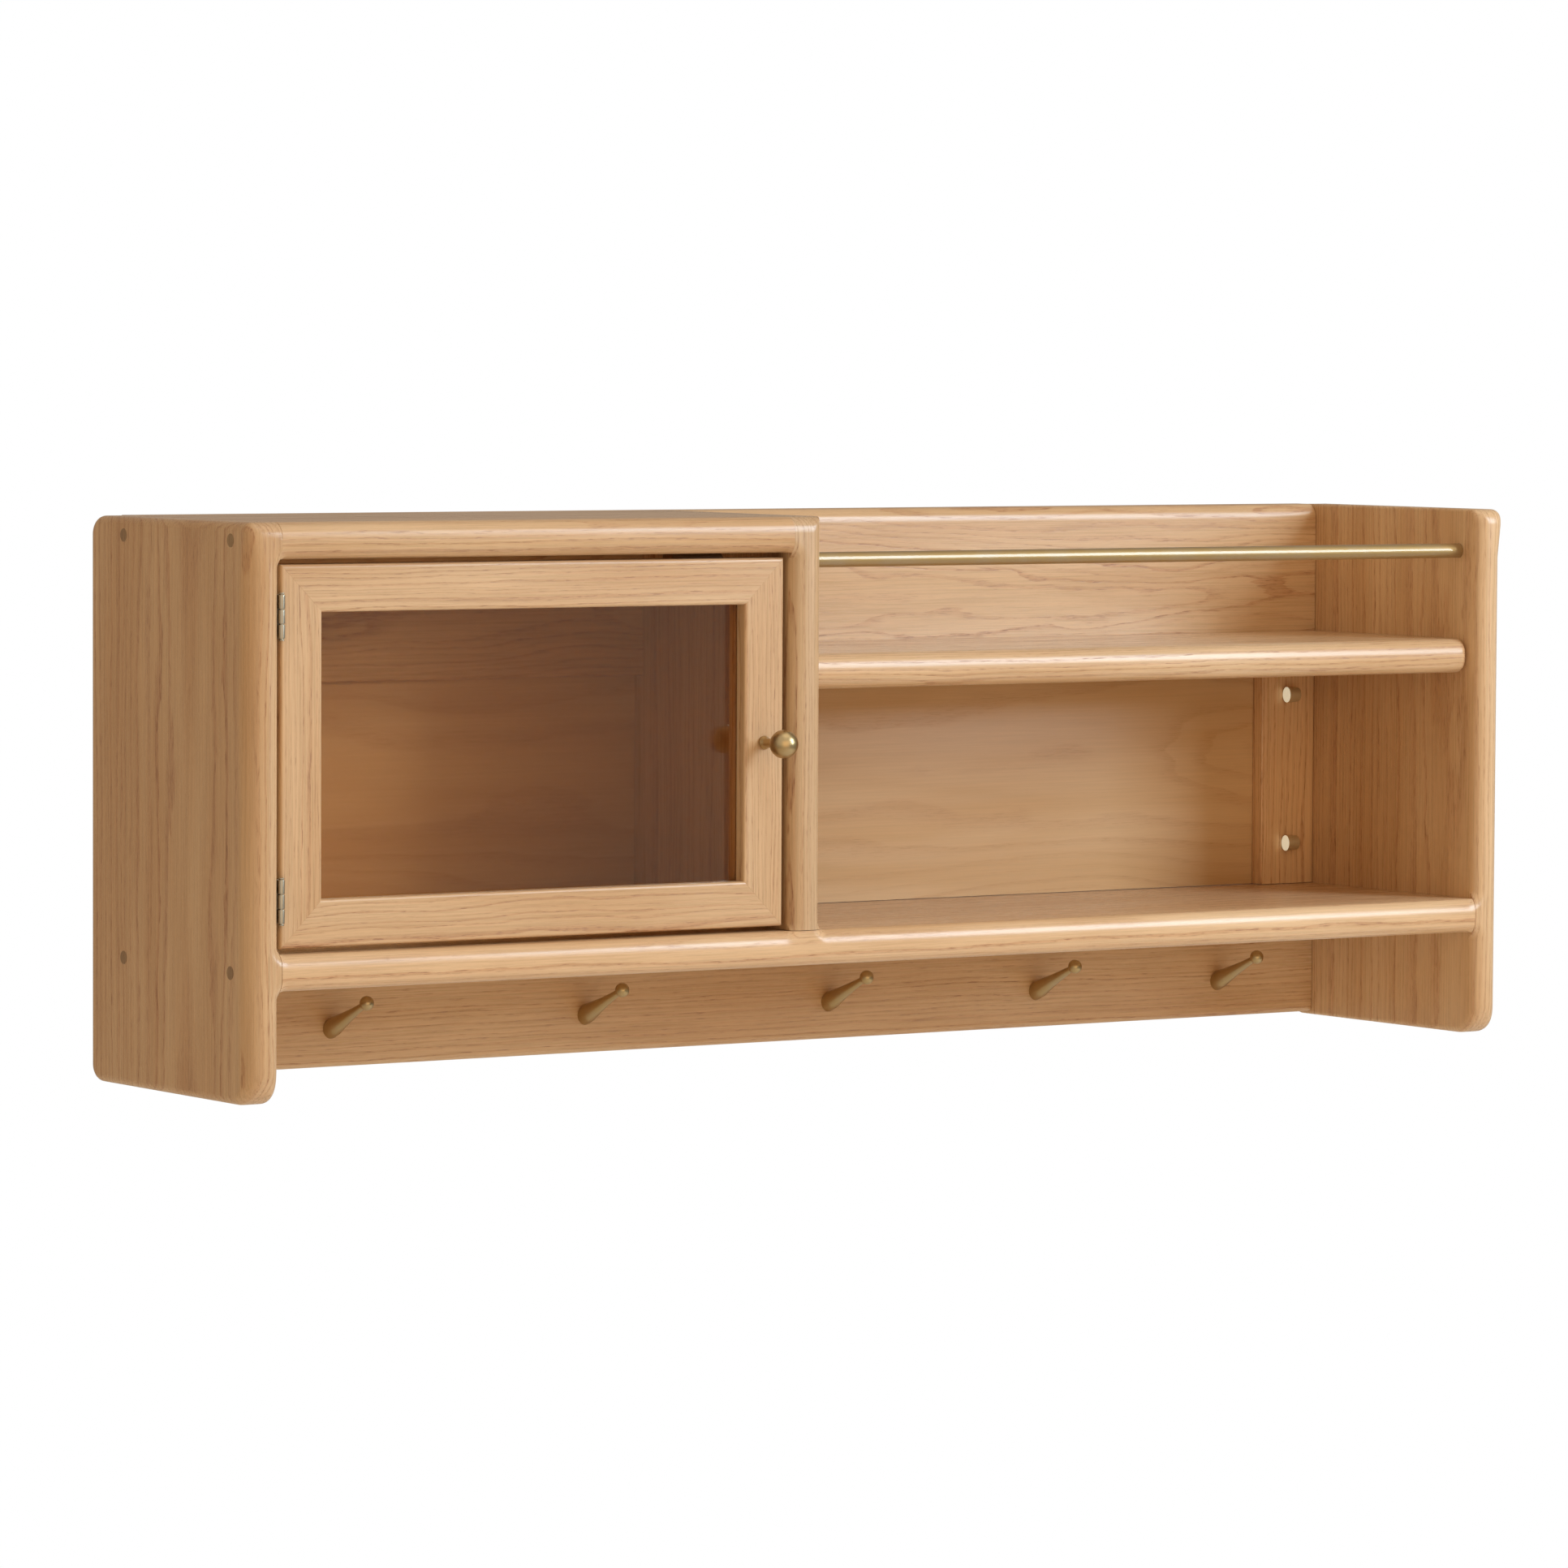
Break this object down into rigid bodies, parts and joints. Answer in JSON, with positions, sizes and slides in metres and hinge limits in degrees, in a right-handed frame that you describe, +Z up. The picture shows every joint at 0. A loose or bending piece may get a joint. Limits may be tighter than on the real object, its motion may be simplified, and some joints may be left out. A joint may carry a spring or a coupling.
{
  "type": "key cabinet",
  "caption": "Wall-hung oak key cabinet: a small glazed door on one side, open shelves with a brass guard rail on the other, and brass key pegs on a rail below.",
  "frame": {"origin": "middle of the wall face of the back top rail, the flat rear face that the cabinet hangs against the wall by", "axes": "+X along the cabinet's length, from the glazed door side to the open shelf side, +Y into the wall, +Z up"},
  "size_m": [0.9, 0.2093, 0.328],
  "materials": {
    "oak": "clear satin varnish",
    "oak_plywood": "clear satin varnish",
    "oak_end_grain": "clear satin varnish",
    "satin_brass": "satin lacquered",
    "nickel_steel": "nickel plated",
    "bronze_glass": "polished, tinted",
    "brown_plastic": "moulded matte"
  },
  "bodies": {
    "cabinet": {"back_left_stile": "oak", "back_panel_left": "oak_plywood", "back_panel_right": "oak_plywood", "back_right_stile": "oak", "back_top_rail": "oak", "bottom_shelf": "oak", "catch_magnet": "nickel_steel", "divider_panel": "oak", "guard_rail_rod": "satin_brass", "key_peg_1": "satin_brass", "key_peg_2": "satin_brass", "key_peg_3": "satin_brass", "key_peg_4": "satin_brass", "key_peg_5": "satin_brass", "left_shelf_back_plug": "oak_end_grain", "left_shelf_front_plug": "oak_end_grain", "left_side_panel": "oak", "left_top_back_plug": "oak_end_grain", "left_top_front_plug": "oak_end_grain", "lower_hinge_frame_leaf": "nickel_steel", "lower_hinge_frame_screw_high": "nickel_steel", "lower_hinge_frame_screw_low": "nickel_steel", "lower_hinge_pin": "nickel_steel", "lower_left_wall_screw": "satin_brass", "lower_right_wall_screw": "satin_brass", "magnet_catch_body": "brown_plastic", "peg_rail": "oak", "right_shelf_back_plug": "oak_end_grain", "right_shelf_front_plug": "oak_end_grain", "right_side_panel": "oak", "right_top_back_plug": "oak_end_grain", "right_top_front_plug": "oak_end_grain", "top_panel": "oak", "upper_hinge_frame_leaf": "nickel_steel", "upper_hinge_frame_screw_high": "nickel_steel", "upper_hinge_frame_screw_low": "nickel_steel", "upper_hinge_pin": "nickel_steel", "upper_left_wall_screw": "satin_brass", "upper_right_wall_screw": "satin_brass", "upper_shelf": "oak"},
    "door": {"door_bottom_rail": "oak", "door_glass": "bronze_glass", "door_hinge_stile": "oak", "door_knob": "satin_brass", "door_lock_stile": "oak", "door_top_rail": "oak", "glass_bead_bottom": "oak", "glass_bead_hinge_side": "oak", "glass_bead_lock_side": "oak", "glass_bead_top": "oak", "knob_screw": "nickel_steel", "lower_hinge_door_leaf": "nickel_steel", "lower_hinge_door_screw_high": "nickel_steel", "lower_hinge_door_screw_low": "nickel_steel", "strike_plate": "nickel_steel", "upper_hinge_door_leaf": "nickel_steel", "upper_hinge_door_screw_high": "nickel_steel", "upper_hinge_door_screw_low": "nickel_steel"}
  },
  "joints": [
    {"name": "door_hinge", "type": "hinge", "parent": "cabinet", "child": "door", "pos_m": [-0.4275, -0.1835, -0.0825], "axis": [0, 0, -1], "range_deg": [0, 165]}
  ]
}
